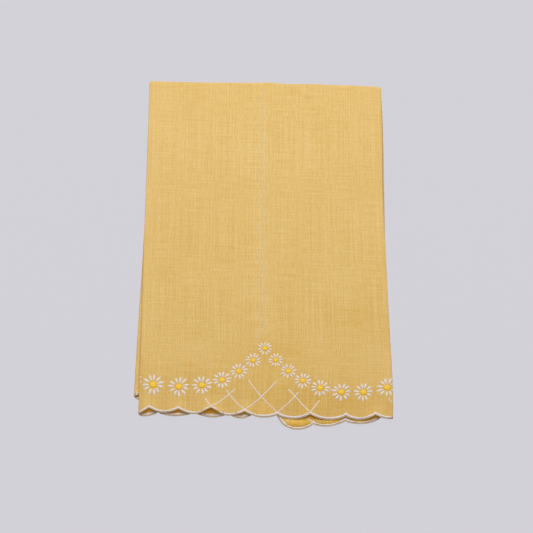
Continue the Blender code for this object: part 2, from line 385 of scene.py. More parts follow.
# %% The whole fold
def lay(place, along):
    """Where a point among the fold lines lies in the folded towel."""
    right = place > 0
    fold = RIGHT_FOLD if right else LEFT_FOLD
    past = along - HEM_TO_FOLD
    down = abs(past)
    near = past < 0
    reach = fold
    if near:
        reach += read_table(SIDE_FOLDS, "near_right" if right else "near_left", down)
    out, depth = over_side_fold(abs(place), fold, reach)
    x = out if right else -out
    flap = depth / (2 * SIDE_BEND)

    # Round the top fold: the flaps lie inside the panel's bend, on a tighter one.
    bend = TOP_BEND - depth
    quarter = math.pi * bend / 2
    angle = min(max(past / bend, -math.pi / 2), math.pi / 2)
    straight = max(down - quarter, 0.0)
    bow = read_table(TOP_FOLD, "rise", x) * fade(down, BOW_FADE)
    y = FOLD_ABOVE_HEM + SKEW * x + bow + bend * math.cos(angle) - straight
    z = BOTTOM_LAYER + TOP_BEND - bend * math.sin(angle)
    far = (1 + math.sin(angle)) / 2
    y += (math.pi * TOP_BEND / 2 - quarter) * min(down / HEM_TO_FOLD, 1.0)

    # Each half's hem line, the near one's notches and the swing of its right flap.
    if near:
        y += read_table(NEAR_HEM, "rise", place - CLOTH_SHIFT) * fade(along, RISE_FADE)
        y += (1 - flap) * at_notches(place, "rise") * fade(along, NOTCH_REACH)
        if right and flap > 0.5:
            x += RIGHT_FLAP_SWING * (fold - min(out, fold)) / fold * fade(along, SWING_FADE)
    else:
        x += read_table(SIDE_FOLDS, "far_slide", down)
        y += read_table(FAR_HEM, "rise", place - CLOTH_SHIFT) * fade(CLOTH_LENGTH - along, RISE_FADE)

    # The unevenness of each layer, shared out round the bends.
    panel = at_notches(place, "curl") * fade(along, NOTCH_REACH) + creases(x, y)
    near_height = (1 - flap) * (swell(x, y) + panel) + flap * FLAP_SWELL * swell(x, y)
    near_height -= read_table(NEAR_HEM, "droop", place - CLOTH_SHIFT) * fade(along, DROOP_REACH)
    curl = FAR_CURL * fade(CLOTH_LENGTH - along, FAR_CURL_REACH) * fade(reach - out, FAR_CURL_WIDTH)
    far_height = flap * (FAR_FLAP_SWELL * swell(x, y) + curl)
    z += (1 - far) * near_height + far * far_height
    return Vector((x - MIDDLE_X, y - MIDDLE_Y, z))


top = lay(0, HEM_TO_FOLD)
print(f"the top fold lies at y = {top.y * 1000:.1f} mm, {top.z * 1000:.1f} mm up")

# %% Standing on the cloth
NEARBY = 0.05 * MM


def on_cloth(across, along, height=0.0):
    """The place at a height over the flat cloth's middle surface, once it is folded."""
    here = lay(*to_fold_lines(across, along))
    if height == 0.0:
        return here
    sideways = lay(*to_fold_lines(across + NEARBY, along)) - here
    onward = lay(*to_fold_lines(across, along + NEARBY)) - here
    return here + sideways.cross(onward).normalized() * height


# %% [markdown]
# ## The scalloped outline
# The edge is a row of arcs between notches, with a fuller arc round each corner. One function gives
# it at any distance in from the cut edge, because the sewn edging follows the same line a little
# further in. At a notch the inner line keeps its point, as satin stitches do when they meet there.

# %% The outline of the flat cloth
def arc_between(start, end, bulge, steps):
    """Points from start towards end along a circle that bulges to the right of the way there."""
    chord = end - start
    half = chord.length / 2
    radius = (half * half + bulge * bulge) / (2 * bulge)
    right = Vector((chord.y, -chord.x)).normalized()
    centre = (start + end) / 2 + right * (bulge - radius)
    sweep = 2 * math.atan2(half, radius - bulge)
    spoke = start - centre
    points = []
    for step in range(steps):
        angle = sweep * step / steps
        turned = Vector((
            spoke.x * math.cos(angle) - spoke.y * math.sin(angle),
            spoke.x * math.sin(angle) + spoke.y * math.cos(angle),
        ))
        points.append(centre + turned)
    return points


def flat_outline():
    """The scalloped edge, anticlockwise from the near left corner's last notch."""
    half = CLOTH_WIDTH / 2
    corners = [
        Vector((-half, 0)),
        Vector((half, 0)),
        Vector((half, CLOTH_LENGTH)),
        Vector((-half, CLOTH_LENGTH)),
    ]
    counts = [SCALLOPS_ACROSS, SCALLOPS_ALONG, SCALLOPS_ACROSS, SCALLOPS_ALONG]
    points = []
    for side in range(4):
        corner = corners[side]
        way = (corners[(side + 1) % 4] - corner).normalized()
        inward = Vector((-way.y, way.x))
        length = (corners[(side + 1) % 4] - corner).length - 2 * CORNER_NOTCH
        pitch = length / counts[side]
        first = corner + way * CORNER_NOTCH + inward * SCALLOP_DEPTH
        for scallop in range(counts[side]):
            start = first + way * pitch * scallop
            points += arc_between(start, start + way * pitch, SCALLOP_DEPTH, SCALLOP_STEPS)
            points[-SCALLOP_STEPS] += inward * NOTCH_POINT
        last = first + way * length
        following = corners[(side + 1) % 4] + inward * CORNER_NOTCH - way * SCALLOP_DEPTH
        points += arc_between(last, following, CORNER_BULGE, CORNER_STEPS)
        points[-CORNER_STEPS] += inward * NOTCH_POINT
    return points


OUTLINE = flat_outline()


def inward_steps(points):
    """At each point of the closed outline, the step inwards that keeps an inner line at one distance."""
    steps = []
    for index, point in enumerate(points):
        before = (point - points[index - 1]).normalized()
        after = (points[(index + 1) % len(points)] - point).normalized()
        across = Vector((-before.y, before.x)) + Vector((-after.y, after.x))
        steps.append(across / (across.length_squared / 2))
    return steps


INWARD = inward_steps(OUTLINE)

# %% [markdown]
# ## The cloth
# The cloth starts as one face with the scalloped outline. Cutting it with `bisect_plane`, along and
# across, gives it the rows and columns that a fold needs, closer together where it bends. Then every
# point is folded, and a Solidify modifier gives it the thickness of linen. Its UV map is the flat
# cloth in metres, so the weave follows the threads round every fold.

# %% Where the cloth is cut into faces
Cuts = namedtuple("Cuts", "start end step")
COLUMN_CUTS = [Cuts(*row) for row in (
    (-174, -96, 5.0),
    (-94.5, -91.5, 1.0),
    (-88.5, -84.5, 1.0),
    (-83, -2, 3.0),
    (0, 44, 2.0),
    (47, 83, 3.0),
    (84.3, 86.3, 1.0),
    (89.6, 92.6, 1.0),
    (94, 174, 5.0),
)]
ROW_CUTS = [Cuts(*row) for row in (
    (1.5, 30, 1.5),
    (32, 250, 3.0),
    (252, 278, 1.5),
    (287, 290, 1.5),
    (296, 530, 7.0),
    (532, 548, 3.0),
)]
SIDE_BEND_STEPS = 16
TOP_BEND_STEPS = 7
UV_MIDDLE = 0.5


def places_in(cuts):
    """The places of a table of cuts."""
    places = []
    for row in cuts:
        place = row.start
        while place <= row.end:
            places.append(place * MM)
            place += row.step
    return places


def cloth_cuts():
    """The columns and rows where the cloth is cut, with those of its bends."""
    columns = places_in(COLUMN_CUTS)
    for fold in (-LEFT_FOLD, RIGHT_FOLD):
        side = math.copysign(math.pi * SIDE_BEND, fold)
        columns += [fold + side * step / SIDE_BEND_STEPS for step in range(SIDE_BEND_STEPS + 1)]
    rows = places_in(ROW_CUTS)
    for step in range(-TOP_BEND_STEPS, TOP_BEND_STEPS + 1):
        rows.append(HEM_TO_FOLD + math.pi * TOP_BEND / 2 * step / TOP_BEND_STEPS)
    return sorted(columns), sorted(rows)


columns, rows = cloth_cuts()
print(f"{len(columns)} columns and {len(rows)} rows")

# %% The linen, cut and folded
RIM_INSET = 0.5 * MM
CLOSEST_POINTS = 0.1 * MM
CUT_TOLERANCE = 0.001 * MM


def object_from(mesh_builder, name):
    """Turn a bmesh into an object of its own."""
    mesh = bpy.data.meshes.new(name)
    mesh_builder.to_mesh(mesh)
    mesh_builder.free()
    made = bpy.data.objects.new(name, mesh)
    bpy.context.scene.collection.objects.link(made)
    return made


def piece_from(mesh_builder, name):
    """Turn a bmesh into a smooth object that rides on the towel's one body."""
    piece = object_from(mesh_builder, name)
    piece.data.shade_smooth()
    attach(piece, "root")
    print(f"{name}: {len(piece.data.vertices)} points, {len(piece.data.polygons)} faces")
    return piece


def make_linen():
    """The cloth as one thin folded sheet."""
    sheet = bmesh.new()
    uv = sheet.loops.layers.uv.new("flat cloth")
    rim = [point + step * RIM_INSET for point, step in zip(OUTLINE, INWARD)]
    sheet.faces.new([sheet.verts.new((*to_fold_lines(*point), 0)) for point in rim])
    for places, way in ((columns, Vector((1, 0, 0))), (rows, Vector((0, 1, 0)))):
        for place in places:
            everything = sheet.verts[:] + sheet.edges[:] + sheet.faces[:]
            bmesh.ops.bisect_plane(
                sheet, geom=everything, dist=CUT_TOLERANCE, plane_co=way * place, plane_no=way)
    bmesh.ops.remove_doubles(sheet, verts=sheet.verts[:], dist=CLOSEST_POINTS)
    many_sided = [face for face in sheet.faces if len(face.verts) > 4]
    bmesh.ops.triangulate(sheet, faces=many_sided)
    for face in sheet.faces:
        for loop in face.loops:
            across, along = to_flat(loop.vert.co.x, loop.vert.co.y)
            loop[uv].uv = (across + UV_MIDDLE, along)
    for vert in sheet.verts:
        vert.co = lay(vert.co.x, vert.co.y)
    return piece_from(sheet, "linen_cloth")


linen = make_linen()
thickness = linen.modifiers.new("thickness", "SOLIDIFY")
thickness.thickness = THICKNESS
thickness.offset = 0.0
thickness.use_rim = True
thickness.material_offset = 1
print(f"{thickness.thickness * 1000:.1f} mm thick")

# %% [markdown]
# ## Threads laid on the cloth
# Satin edging and embroidered lines are raised cords of thread. A cord is a grid that we roll into a
# tube: its rows follow a path drawn on the flat cloth, and its columns go round the path. Rolling a
# grid keeps a clean UV map, with the distance along the cord in U, where the stitches are counted.

# %% Rolling a grid into a cord
CORD_SIDES = 8
SEAM = 0.01 * MM
RIPPLES = ((2.4, 0.0), (0.83, 1.0))


def add_cord(builder, path, sides, widths, heights, closed=False):
    """Add a tube along flat points. sides are the flat steps across it, and it is pressed oval."""
    uv = builder.loops.layers.uv.verify()
    segments = len(path) if closed else len(path) - 1
    made = bmesh.ops.create_grid(builder, x_segments=segments, y_segments=CORD_SIDES, size=1)
    lengths = [0.0]
    for step in range(segments):
        lengths.append(lengths[-1] + (path[(step + 1) % len(path)] - path[step]).length)
    around = math.pi * (max(widths) + max(heights)) / CORD_SIDES
    frames = []
    for point, side, width in zip(path, sides, widths):
        here = on_cloth(*point)
        across = (on_cloth(*(point + side * NEARBY)) - here) / NEARBY
        normal = (on_cloth(*point, NEARBY) - here) / NEARBY
        frames.append((here, across * width, normal))
    faces = {face for vert in made["verts"] for face in vert.link_faces}
    for face in faces:
        for loop in face.loops:
            station = round((loop.vert.co.x + 1) / 2 * segments)
            turn = round((loop.vert.co.y + 1) / 2 * CORD_SIDES)
            loop[uv].uv = (lengths[station], turn * around)
    for vert in made["verts"]:
        station = round((vert.co.x + 1) / 2 * segments) % len(path)
        angle = math.pi * (vert.co.y + 1)
        here, across, normal = frames[station]
        vert.co = here + across * math.cos(angle) + normal * heights[station] * math.sin(angle)
    bmesh.ops.remove_doubles(builder, verts=made["verts"], dist=SEAM)


def along_edge(cord):
    """A cord that follows the whole scalloped edge at one distance inside it."""
    builder = bmesh.new()
    path = [point + step * cord.inset * MM for point, step in zip(OUTLINE, INWARD)]
    widths = []
    for station in range(len(path)):
        ripple = sum(math.sin(station * pace + start) for pace, start in RIPPLES)
        widths.append(cord.half_width * MM * (1 + cord.unevenness * ripple))
    heights = [cord.half_height * width / cord.half_width for width in widths]
    add_cord(builder, path, INWARD, widths, heights, closed=True)
    bmesh.ops.recalc_face_normals(builder, faces=builder.faces[:])
    return piece_from(builder, cord.name)


# %% [markdown]
# ## The sewn edge
# Close satin stitches wrap the cut edge in white, and a narrow trimmed fringe of linen is left
# outside them. Its tan colour is partly the linen's own and partly painted shade under the raised
# edging. Both show on the right and the wrong side, so each cord is centred on the cloth.

# %% The white edging and the trimmed edge outside it
EdgeCord = namedtuple("EdgeCord", "name inset half_width half_height unevenness")
edging = along_edge(EdgeCord("satin_edging", 1.3, 0.82, 0.36, 0.03))
trim_and_shade = along_edge(EdgeCord("trimmed_edge_and_shade", 0.26, 0.4, 0.22, 0.05))

# %% [markdown]
# ## The lattice
# Between the middle scallops and the daisies, thin embroidered lines carry the curve of each scallop
# on past its notch, so they cross like a trellis. Each line starts at a notch and has a row in the
# table: how far it goes over and up, and how much it bows. A few short lines near the right corner
# have a table of their own; they are sewn through, so their backs show on the folded flap. The ends
# of the lines were read off the photograph, to a whole or half millimetre.

# %% Lines of the lattice
LatticeLine = namedtuple("LatticeLine", "notch over up bow")
LATTICE = [LatticeLine(*row) for row in (
    (-2, -5, 9, 0),
    (-2, 17, 17, 0),
    (-1, -14, 16, 0.04),
    (-1, 22, 24, 0.04),
    (0, -22, 24, 0.04),
    (0, 15, 16, 0.04),
    (1, -17, 18, 0),
    (1, 6, 10, 0),
)]
StraightLine = namedtuple("StraightLine", "across up end_across end_up")
CORNER_LINES = [StraightLine(*row) for row in (
    (90, 16.5, 94, 12.5),
    (144, 5.5, 146, 3),
    (148.5, 6, 151, 4),
    (158.5, 8, 152, 4),
    (169, 7.5, 172, 6),
)]
LATTICE_HALF_WIDTH = 0.56 * MM
LATTICE_HALF_HEIGHT = 0.42 * MM
LATTICE_STEP = 1.5 * MM
NOTCH_TOP = 4.4 * MM
END_TUCK = 0.5
END_FULLNESS = 0.9


def add_line(builder, start, end, bow, half_width, half_height):
    """Add a cord between two flat points, bowed downwards, with rounded ends."""
    chord = end - start
    count = max(4, math.ceil(chord.length / LATTICE_STEP))
    down = Vector((-chord.y, chord.x)).normalized() * math.copysign(1, -chord.x)
    path = []
    for step in range(count + 1):
        share = step / count
        path.append(start + chord * share + down * chord.length * bow * 4 * share * (1 - share))
    side = Vector((-chord.y, chord.x)).normalized()
    ends = [0.0] + [1.0] * (count - 1) + [0.0]
    path[0] += chord.normalized() * half_width * END_TUCK
    path[-1] -= chord.normalized() * half_width * END_TUCK
    path.insert(1, path[0] + chord.normalized() * half_width)
    path.insert(-1, path[-1] - chord.normalized() * half_width)
    ends.insert(1, END_FULLNESS)
    ends.insert(-1, END_FULLNESS)
    widths = [half_width * end for end in ends]
    heights = [half_height * end for end in ends]
    add_cord(builder, path, [side] * len(path), widths, heights)


def sew_lines(name, lines, half_width, half_height):
    """A piece of cords, each given by its two ends and its bow."""
    builder = bmesh.new()
    for start, end, bow in lines:
        add_line(builder, start, end, bow, half_width, half_height)
    bmesh.ops.recalc_face_normals(builder, faces=builder.faces[:])
    return piece_from(builder, name)


def from_notch(line):
    """The ends and the bow of a line that starts at a notch."""
    start = Vector(((line.notch + 0.5) * PITCH, NOTCH_TOP))
    return start, start + Vector((line.over, line.up)) * MM, line.bow


def straight(line):
    """The ends of a straight line, which has no bow."""
    return Vector((line.across, line.up)) * MM, Vector((line.end_across, line.end_up)) * MM, 0.0


lines = [from_notch(line) for line in LATTICE] + [straight(line) for line in CORNER_LINES]
lattice = sew_lines("lattice_lines", lines, LATTICE_HALF_WIDTH, LATTICE_HALF_HEIGHT)

# %% [markdown]
# ## The daisies
# Each daisy has eleven petals in white satin stitch and a padded golden centre. They rise to a point
# in the middle and grow towards the sides. A rule lays out each wing of the chain: the steps between
# the flowers widen by one ratio, and their line sinks along a curve. The last one, by the side fold,
# is a little closer and higher. One function sews the same flower at each place: a petal is a small
# grid, bulged and narrowed to a lens.

# %% Where the daisies are sewn
Daisy = namedtuple("Daisy", "across up radius turn")
MIDDLE_DAISY = Daisy(0.3, 53.5, 5.4, 188)
Wing = namedtuple("Wing", "side first_step growth lowest_at lowest steepness radius swelling turn")
WINGS = [
    Wing(-1, 8.0, 1.2, 66, 21.0, 2.75, 5.3, 0.5, 180),
    Wing(1, 8.1, 1.15, 62, 20.5, 2.3, 5.1, 0.35, 172),
]
WING_DAISIES = 7
END_STEP = 17.5
END_RISE = 25


def wing_daisies(wing):
    """The daisies of one wing, from the middle outwards: their steps grow, and their line sinks."""
    daisies = []
    out = 0
    step = wing.first_step
    for number in range(1, WING_DAISIES + 1):
        out += step
        step = END_STEP if number == WING_DAISIES - 1 else step * wing.growth
        inside = max(1 - out / wing.lowest_at, 0) ** wing.steepness
        outside = max(out / wing.lowest_at - 1, 0) ** 2
        up = wing.lowest + inside * (MIDDLE_DAISY.up - wing.lowest) + outside * END_RISE
        radius = wing.radius + wing.swelling * number
        daisies.append(Daisy(MIDDLE_DAISY.across + wing.side * out, up, radius, wing.turn))
    return daisies


DAISIES = wing_daisies(WINGS[0])[::-1] + [MIDDLE_DAISY] + wing_daisies(WINGS[1])
print(f"{len(DAISIES)} daisies, from {DAISIES[0].across:.0f} to {DAISIES[-1].across:.0f} mm across")

# %% Their petals
PETALS = 11
PETAL_START = 0.34
PETAL_LENGTH = 1.03
PETAL_HALF_LENGTH = 1 / 3
PETAL_HALF_WIDTH = 0.118
PETAL_TIP = 0.1
PETAL_FULLEST = 0.56
PETAL_RISE = 0.32 * MM
PETAL_SWAY = math.radians(3)
SWAY_PACE = 2.3
PETAL_REACH = 0.04
REACH_PACE = 1.7
PETAL_COLUMNS = 8
PETAL_ROWS = 6
STITCH_SINK = 0.03 * MM


def add_petal(builder, centre, angle, radius):
    """Add one raised petal that points away from the centre of its daisy."""
    uv = builder.loops.layers.uv.verify()
    made = bmesh.ops.create_grid(builder, x_segments=PETAL_COLUMNS, y_segments=PETAL_ROWS, size=1)
    outward = Vector((math.cos(angle), math.sin(angle)))
    sideways = Vector((-outward.y, outward.x))
    faces = {face for vert in made["verts"] for face in vert.link_faces}
    for face in faces:
        for loop in face.loops:
            at = loop.vert.co * radius
            loop[uv].uv = (at.x * PETAL_HALF_LENGTH, at.y * PETAL_HALF_WIDTH)
    for vert in made["verts"]:
        share = (vert.co.x + 1) / 2
        bent = share ** (math.log(0.5) / math.log(PETAL_FULLEST))
        plump = PETAL_TIP + (1 - PETAL_TIP) * math.sin(math.pi * bent)
        from_centre = radius * (PETAL_START + (1 - PETAL_START) * share)
        off = radius * PETAL_HALF_WIDTH * plump * vert.co.y
        rise = PETAL_RISE * math.sqrt(max(1 - vert.co.y ** 2, 0)) * math.sqrt(plump)
        flat = centre + outward * from_centre + sideways * off
        vert.co = on_cloth(*flat, THICKNESS / 2 + rise - STITCH_SINK)


def make_petals():
    """All the petals, as one piece."""
    builder = bmesh.new()
    for daisy in DAISIES:
        centre = Vector((daisy.across, daisy.up)) * MM
        for petal in range(PETALS):
            unevenly = math.sin(petal * SWAY_PACE + daisy.across)
            angle = math.radians(daisy.turn) + 2 * math.pi * petal / PETALS + PETAL_SWAY * unevenly
            longer = PETAL_LENGTH + PETAL_REACH * math.sin(petal * REACH_PACE + daisy.up)
            add_petal(builder, centre, angle, daisy.radius * longer * MM)
    return piece_from(builder, "daisy_petals")


petals = make_petals()

# %% The padded centres
CENTRE_ACROSS = 0.375
CENTRE_ALONG = 0.32
CENTRE_RISE = 0.34 * MM
DOME_SIDES = 16
DOME_RINGS = 12
EQUATOR_TOLERANCE = 0.001


def make_centres():
    """The golden domes, each the upper half of a sphere pressed low."""
    builder = bmesh.new()
    uv = builder.loops.layers.uv.verify()
    out = builder.verts.layers.float.new("out")
    for daisy in DAISIES:
        made = bmesh.ops.create_uvsphere(
            builder, u_segments=DOME_SIDES, v_segments=DOME_RINGS, radius=1)["verts"]
        edges = {edge for vert in made for edge in vert.link_edges}
        faces = {face for vert in made for face in vert.link_faces}
        cut = bmesh.ops.bisect_plane(
            builder, geom=made + list(edges) + list(faces), dist=EQUATOR_TOLERANCE,
            plane_co=(0, 0, 0), plane_no=(0, 0, 1), clear_inner=True)
        dome = {vert for vert in made if vert.is_valid}
        dome.update(item for item in cut["geom_cut"] if isinstance(item, bmesh.types.BMVert))
        centre = Vector((daisy.across, daisy.up)) * MM
        across = daisy.radius * CENTRE_ACROSS * MM
        along = daisy.radius * CENTRE_ALONG * MM
        for face in {face for vert in dome for face in vert.link_faces}:
            for loop in face.loops:
                loop[uv].uv = (loop.vert.co.x * across, loop.vert.co.y * along)
        for vert in dome:
            vert[out] = math.hypot(vert.co.x, vert.co.y)
            flat = centre + Vector((vert.co.x * across, vert.co.y * along))
            vert.co = on_cloth(*flat, THICKNESS / 2 + vert.co.z * CENTRE_RISE - STITCH_SINK)
    return piece_from(builder, "daisy_centres")


centres = make_centres()

# %% [markdown]
# ## Slubs
# Linen yarn has slubs, stretches where the thread is thicker and paler. The fine ones are in the
# material, and the few long ones that catch the eye are real raised threads, laid where they show.

# %% The long slubs
SLUBS = [StraightLine(*row) for row in (
    (48.5, 132.5, 73, 133.5),
    (54.5, 91, 77, 92),
    (73, 182, 80, 182.5),
    (-48, 37.5, -38, 38),
    (18.5, 196, 19.5, 196),
    (18, 188.5, 19, 188.5),
)]
SLUB_HALF_WIDTH = 0.28 * MM
SLUB_HALF_HEIGHT = 0.3 * MM

slubs = sew_lines(
    "slub_threads", [straight(line) for line in SLUBS], SLUB_HALF_WIDTH, SLUB_HALF_HEIGHT)

# %% [markdown]
# ## Materials
# Two effects are shared by more than one material, so each is a node group: the linen's weave, and the
# ridges of satin stitches. A group takes a place on the surface and gives back a tone, which
# multiplies a colour, and a height for a Bump node. The shaders stay outside, in each material.

# %% Helpers for node trees
def add_node(tree, kind, title, **settings):
    """A node with a title and its settings."""
    made = tree.nodes.new(kind)
    made.name = made.label = title
    for setting, value in settings.items():
        setattr(made, setting, value)
    return made


def feed(tree, node, values):
    """Give a node's inputs their values, each a constant or another node's socket."""
    for socket, value in values.items():
        if isinstance(value, bpy.types.NodeSocket):
            tree.links.new(value, node.inputs[socket])
        elif value is not None:
            node.inputs[socket].default_value = value


def calculate(tree, operation, title, first, second=None, third=None):
    """A Math node on sockets or numbers, and its result."""
    made = add_node(tree, "ShaderNodeMath", title, operation=operation)
    feed(tree, made, {0: first, 1: second, 2: third})
    return made.outputs[0]


def remap(tree, title, value, from_min, from_max, to_min=0.0, to_max=1.0):
    """A smooth Map Range node, and its result."""
    made = add_node(tree, "ShaderNodeMapRange", title, interpolation_type="SMOOTHSTEP")
    feed(tree, made, {"Value": value, "From Min": from_min, "From Max": from_max})
    feed(tree, made, {"To Min": to_min, "To Max": to_max})
    return made.outputs["Result"]


def split_place(tree, title, place):
    """The X and the Y of a place, each on a socket of its own."""
    made = add_node(tree, "ShaderNodeSeparateXYZ", title)
    feed(tree, made, {"Vector": place})
    return made.outputs["X"], made.outputs["Y"]


def new_group(name, inputs, outputs):
    """An empty shader group. Each input's name has its kind and default value."""
    group = bpy.data.node_groups.new(name, "ShaderNodeTree")
    for socket, (kind, default) in inputs.items():
        made = group.interface.new_socket(socket, in_out="INPUT", socket_type=kind)
        if default is not None:
            made.default_value = default
    for socket in outputs:
        group.interface.new_socket(socket, in_out="OUTPUT", socket_type="NodeSocketFloat")
    start = add_node(group, "NodeGroupInput", "in")
    end = add_node(group, "NodeGroupOutput", "out")
    return group, start, end


# %% The weave of linen
WEAVE_PERIOD = 0.9 * MM


def stretched_noise(tree, place, title, cell_across, cell_along, shift=0.0):
    """Noise in cells of one size across the cloth and another along it, about zero."""
    mapping = add_node(tree, "ShaderNodeMapping", title + " cells")
    scale = (1 / cell_across, 1 / cell_along, 1)
    feed(tree, mapping, {"Vector": place, "Scale": scale, "Location": (shift, shift, 0)})
    noise = add_node(tree, "ShaderNodeTexNoise", title, noise_dimensions="2D")
    feed(tree, noise, {"Vector": mapping.outputs["Vector"], "Scale": 1.0, "Detail": 1.0})
    return calculate(tree, "SUBTRACT", title + " about zero", noise.outputs["Fac"], 0.5)


def make_weave():
    """Uneven warp and weft threads, with the small checks of a plain weave."""
    inputs = {
        "Place": ("NodeSocketVector", None),
        "Warp": ("NodeSocketFloat", 0.2),
        "Weft": ("NodeSocketFloat", 0.1),
        "Grain": ("NodeSocketFloat", 0.2),
    }
    tree, start, end = new_group("linen weave", inputs, ("Tone", "Height"))
    place = start.outputs["Place"]
    long_warp = stretched_noise(tree, place, "long warp threads", 0.8 * MM, 70 * MM, shift=7.3)
    warp = stretched_noise(tree, place, "warp slubs", 0.8 * MM, 6 * MM)
    weft = stretched_noise(tree, place, "weft slubs", 22 * MM, 0.8 * MM, shift=3.1)
    grain = stretched_noise(tree, place, "fine grain", 0.7 * MM, 0.7 * MM, shift=11.7)
    cloudy = stretched_noise(tree, place, "cloudiness", 26 * MM, 40 * MM, shift=5.5)
    both_warps = calculate(tree, "MULTIPLY_ADD", "all warp", long_warp, 1.4, warp)
    tone = calculate(tree, "MULTIPLY_ADD", "with warp", both_warps, start.outputs["Warp"], 1.0)
    tone = calculate(tree, "MULTIPLY_ADD", "with weft", weft, start.outputs["Weft"], tone)
    tone = calculate(tree, "MULTIPLY_ADD", "with grain", grain, start.outputs["Grain"], tone)
    tone = calculate(tree, "MULTIPLY_ADD", "with clouds", cloudy, 0.06, tone)
    waves = []
    for part in split_place(tree, "across and along", place):
        turns = calculate(tree, "MULTIPLY", "turns", part, 2 * math.pi / WEAVE_PERIOD)
        waves.append(calculate(tree, "SINE", "over and under", turns))
    checks = calculate(tree, "MULTIPLY", "checks", *waves)
    height = calculate(tree, "MULTIPLY_ADD", "checks and threads", both_warps, 2.5, checks)
    height = calculate(tree, "MULTIPLY_ADD", "and weft", weft, 1.5, height)
    feed(tree, end, {"Tone": tone, "Height": height})
    return tree


weave = make_weave()
print(f"{weave.name}: {len(weave.nodes)} nodes")

# %% The ridges of satin stitches
def make_stitches():
    """Fine ridges across a cord or petal, a little uneven, with painted shade in the grooves between
    them.
    """
    inputs = {
        "Place": ("NodeSocketVector", None),
        "Pitch": ("NodeSocketFloat", 0.4 * MM),
        "Slant": ("NodeSocketFloat", 0.3),
        "Shade": ("NodeSocketFloat", 0.1),
    }
    tree, start, end = new_group("satin stitches", inputs, ("Tone", "Height"))
    place = start.outputs["Place"]
    along, around = split_place(tree, "along and round", place)
    uneven = stretched_noise(tree, place, "uneven stitches", 0.7 * MM, 1.5 * MM, shift=2.2)
    slanted = calculate(tree, "MULTIPLY_ADD", "slanted", around, start.outputs["Slant"], along)
    counted = calculate(tree, "DIVIDE", "counted", slanted, start.outputs["Pitch"])
    counted = calculate(tree, "MULTIPLY_ADD", "unevenly", uneven, 1.2, counted)
    wave = calculate(tree, "SINE", "ridges", calculate(tree, "MULTIPLY", "turns", counted, 2 * math.pi))
    height = calculate(tree, "MULTIPLY_ADD", "from 0 to 1", wave, 0.5, 0.5)
    # The tone paints shade in the grooves and light on the ridges, by as much as Shade says.
    tone = calculate(tree, "SUBTRACT", "about zero", height, 0.5)
    tone = calculate(tree, "MULTIPLY_ADD", "tone", tone, start.outputs["Shade"], 1.0)
    feed(tree, end, {"Tone": tone, "Height": height})
    return tree


stitches = make_stitches()
print(f"{stitches.name}: {len(stitches.nodes)} nodes")

# %% [markdown]
# ## The linen's colour
# The cloth is thin, so the edges of the two flaps behind show through the front as a faint wavy line:
# paler over their white edging, and greyer in the gap between. This is painted light and painted shade
# in the colour, worked out from the flat cloth's place, a sine wave as long as one scallop. A short
# table also paints a few soft patches of shade and light, mostly deeper towards the hem and paler
# towards the top fold.

# %% A material's common parts
def new_material(name, roughness, sheen, specular):
    """A Principled material, with its constants on its own sockets."""
    material = bpy.data.materials.new(name)
    material.use_nodes = True
    tree = material.node_tree
    shader = tree.nodes["Principled BSDF"]
    feed(tree, shader, {
        "Roughness": roughness, "Sheen Weight": sheen, "Specular IOR Level": specular})
    return material, tree, shader


def mix_colours(tree, title, factor, first, second):
    """A Mix node on two colours, or on sockets that carry them, and its result."""
    made = add_node(tree, "ShaderNodeMix", title, data_type="RGBA")
    feed(tree, made, {"Factor": factor})
    for socket, colour in (("A", first), ("B", second)):
        is_socket = isinstance(colour, bpy.types.NodeSocket)
        feed(tree, made, {socket: colour if is_socket else (*colour, 1)})
    return made.outputs["Result"]


def toned(tree, colour, tone):
    """A colour, or a socket that carries one, multiplied by a tone."""
    made = add_node(tree, "ShaderNodeVectorMath", "toned", operation="SCALE")
    feed(tree, made, {0: colour, "Scale": tone})
    return made.outputs["Vector"]


def dress(tree, shader, colour, height, bump_distance, bump_strength):
    """Give the surface its colour, and bump it by a height."""
    bump = add_node(tree, "ShaderNodeBump", "bump")
    feed(tree, bump, {"Distance": bump_distance, "Strength": bump_strength, "Height": height})
    feed(tree, shader, {"Base Color": colour, "Normal": bump.outputs["Normal"]})


def use_group(tree, group, uv_map, **values):
    """A group fed by the piece's own UV map, with its values."""
    place = add_node(tree, "ShaderNodeUVMap", "place", uv_map=uv_map)
    made = add_node(tree, "ShaderNodeGroup", group.name, node_tree=group)
    feed(tree, made, {"Place": place.outputs["UV"], **values})
    return place.outputs["UV"], made.outputs["Tone"], made.outputs["Height"]


# %% The yellow linen
Yarns = namedtuple("Yarns", "deep pale")
RIGHT_SIDE = Yarns((0.728, 0.430, 0.056), (0.812, 0.689, 0.326))
WRONG_SIDE = Yarns((0.800, 0.470, 0.050), (0.930, 0.770, 0.230))
GLOWING_YELLOW = (0.880, 0.560, 0.020)
RIGHT_GLOW = 0.34
WRONG_GLOW = 0.42
# The grey that paints the shade of the gap between the flaps behind, seen through the cloth.
PAINTED_GAP_GREY = (0.73, 0.69, 0.58)
GAP_MIDDLE = -2.3 * MM
GAP_WAVE = 2.3 * MM
GAP_PHASE = 0.2
FLAP_PITCH = (CLOTH_LENGTH - 2 * CORNER_NOTCH) / SCALLOPS_ALONG
GAP_HALF = 0.5 * MM
GAP_SOFT_HALF = 2.2 * MM
EDGES_BESIDE = 3.4 * MM
EDGES_HALF = 0.4 * MM
EDGES_SOFT_HALF = 1.8 * MM
SHOWS_FROM = 52 * MM
SHOWS_FULLY_FROM = 64 * MM
SHOWS_TO = HEM_TO_FOLD - 4 * MM
SHOWS_FULLY_TO = HEM_TO_FOLD - 14 * MM
# EDGES_TONE paints light over the flaps' white edges behind; GAP_GREYNESS paints shade over the gap
# between them.
EDGES_TONE = 0.035
GAP_GREYNESS = 0.15
TONE_SPREAD = 0.6
